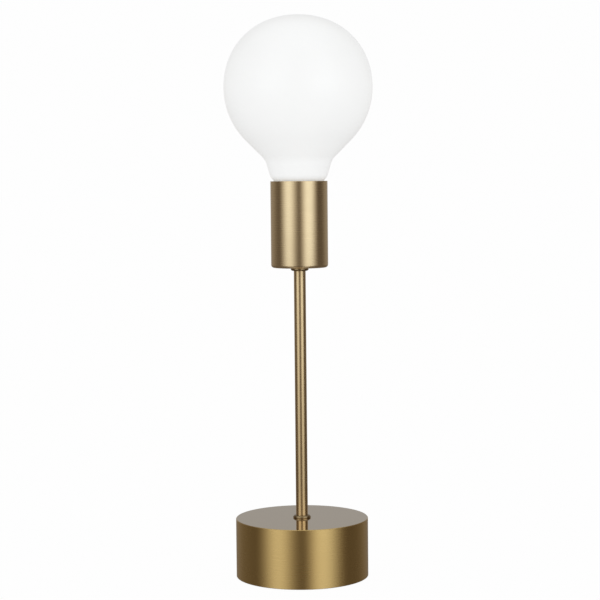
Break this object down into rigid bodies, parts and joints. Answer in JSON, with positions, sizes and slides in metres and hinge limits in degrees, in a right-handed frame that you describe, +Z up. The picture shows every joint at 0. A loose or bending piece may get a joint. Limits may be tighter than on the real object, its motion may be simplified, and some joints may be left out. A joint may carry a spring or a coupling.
{
  "type": "table lamp",
  "caption": "Table lamp with a heavy drum base, a thin straight stem and a deep cup that holds a large opal globe bulb, which screws in and out.",
  "frame": {"origin": "centre of the base where its feet stand on the table", "axes": "+Z up along the stem, +Y towards the rear, where the cord inlet faces, +X to the right seen from the front"},
  "size_m": [0.1246, 0.1246, 0.4739],
  "materials": {
    "brushed_brass": "satin",
    "cast_iron": "matte",
    "black_lacquer": "satin",
    "foot_rubber": "matte",
    "black_nylon": "matte",
    "zinc_steel": "satin",
    "contact_brass": "satin",
    "spring_bronze": "satin",
    "connector_nylon": "satin",
    "black_phenolic": "gloss",
    "steatite": "matte",
    "brown_insulation": "satin",
    "blue_insulation": "satin",
    "earth_insulation": "satin",
    "opal_glass": "gloss",
    "clear_glass": "gloss",
    "black_glass": "gloss",
    "nickel_cap": "satin",
    "solder": "satin",
    "led_phosphor": "satin",
    "nickel_wire": "satin",
    "board_green": "satin",
    "capacitor_sleeve": "gloss"
  },
  "bodies": {
    "stand": {"base_shell": "brushed_brass", "base_weight": "cast_iron", "base_cover": "black_lacquer", "cover_screws": "zinc_steel", "rubber_feet": "foot_rubber", "cord_bush": "black_nylon", "stem_tube": "brushed_brass", "stem_washer": "zinc_steel", "stem_nut": "zinc_steel", "tube_bushes": "black_nylon", "lower_collar": "brushed_brass", "upper_collar": "brushed_brass", "socket_cup": "brushed_brass", "cup_washer": "zinc_steel", "cup_nut": "zinc_steel", "holder_dome": "black_phenolic", "holder_set_screw": "zinc_steel", "holder_core": "steatite", "holder_barrel": "black_phenolic", "terminal_blocks": "contact_brass", "terminal_screws": "zinc_steel", "contact_rivets": "contact_brass", "thread_shell": "contact_brass", "contact_root": "spring_bronze", "connector_housing": "connector_nylon", "connector_barrels": "contact_brass", "connector_clamp_screws": "zinc_steel", "connector_fixing_screws": "zinc_steel", "live_wire": "brown_insulation", "neutral_wire": "blue_insulation", "earth_wire": "earth_insulation", "earth_lug": "zinc_steel", "earth_screw": "zinc_steel"},
    "contact_leaf": {"contact_leaf": "spring_bronze"},
    "bulb_lift": {"cap_contact": "solder"},
    "bulb": {"cap_insulator": "black_glass", "bulb_cap": "nickel_cap", "bulb_globe": "opal_glass", "glass_mount": "clear_glass", "led_filaments": "led_phosphor", "filament_supports": "nickel_wire", "driver_board": "board_green", "driver_capacitor": "capacitor_sleeve", "lead_wires": "nickel_wire"}
  },
  "joints": [
    {"name": "bulb_rise", "type": "slide", "parent": "stand", "child": "bulb_lift", "axis": [0, 0, 1], "range_m": [0, 0.02179]},
    {"name": "bulb_turn", "type": "hinge", "parent": "bulb_lift", "child": "bulb", "pos_m": [0, 0, 0.298], "axis": [0, 0, 1], "range_deg": [0, 2160]},
    {"name": "contact_flex", "type": "hinge", "parent": "stand", "child": "contact_leaf", "pos_m": [0.0054, 0, 0.2942], "axis": [0, -1, 0], "range_deg": [0, 8], "stiffness_Nm_per_rad": 0.3}
  ],
  "couplings": [
    {"joint": "bulb_rise", "follows": "bulb_turn", "m_per_rad": 0.00057751}
  ]
}
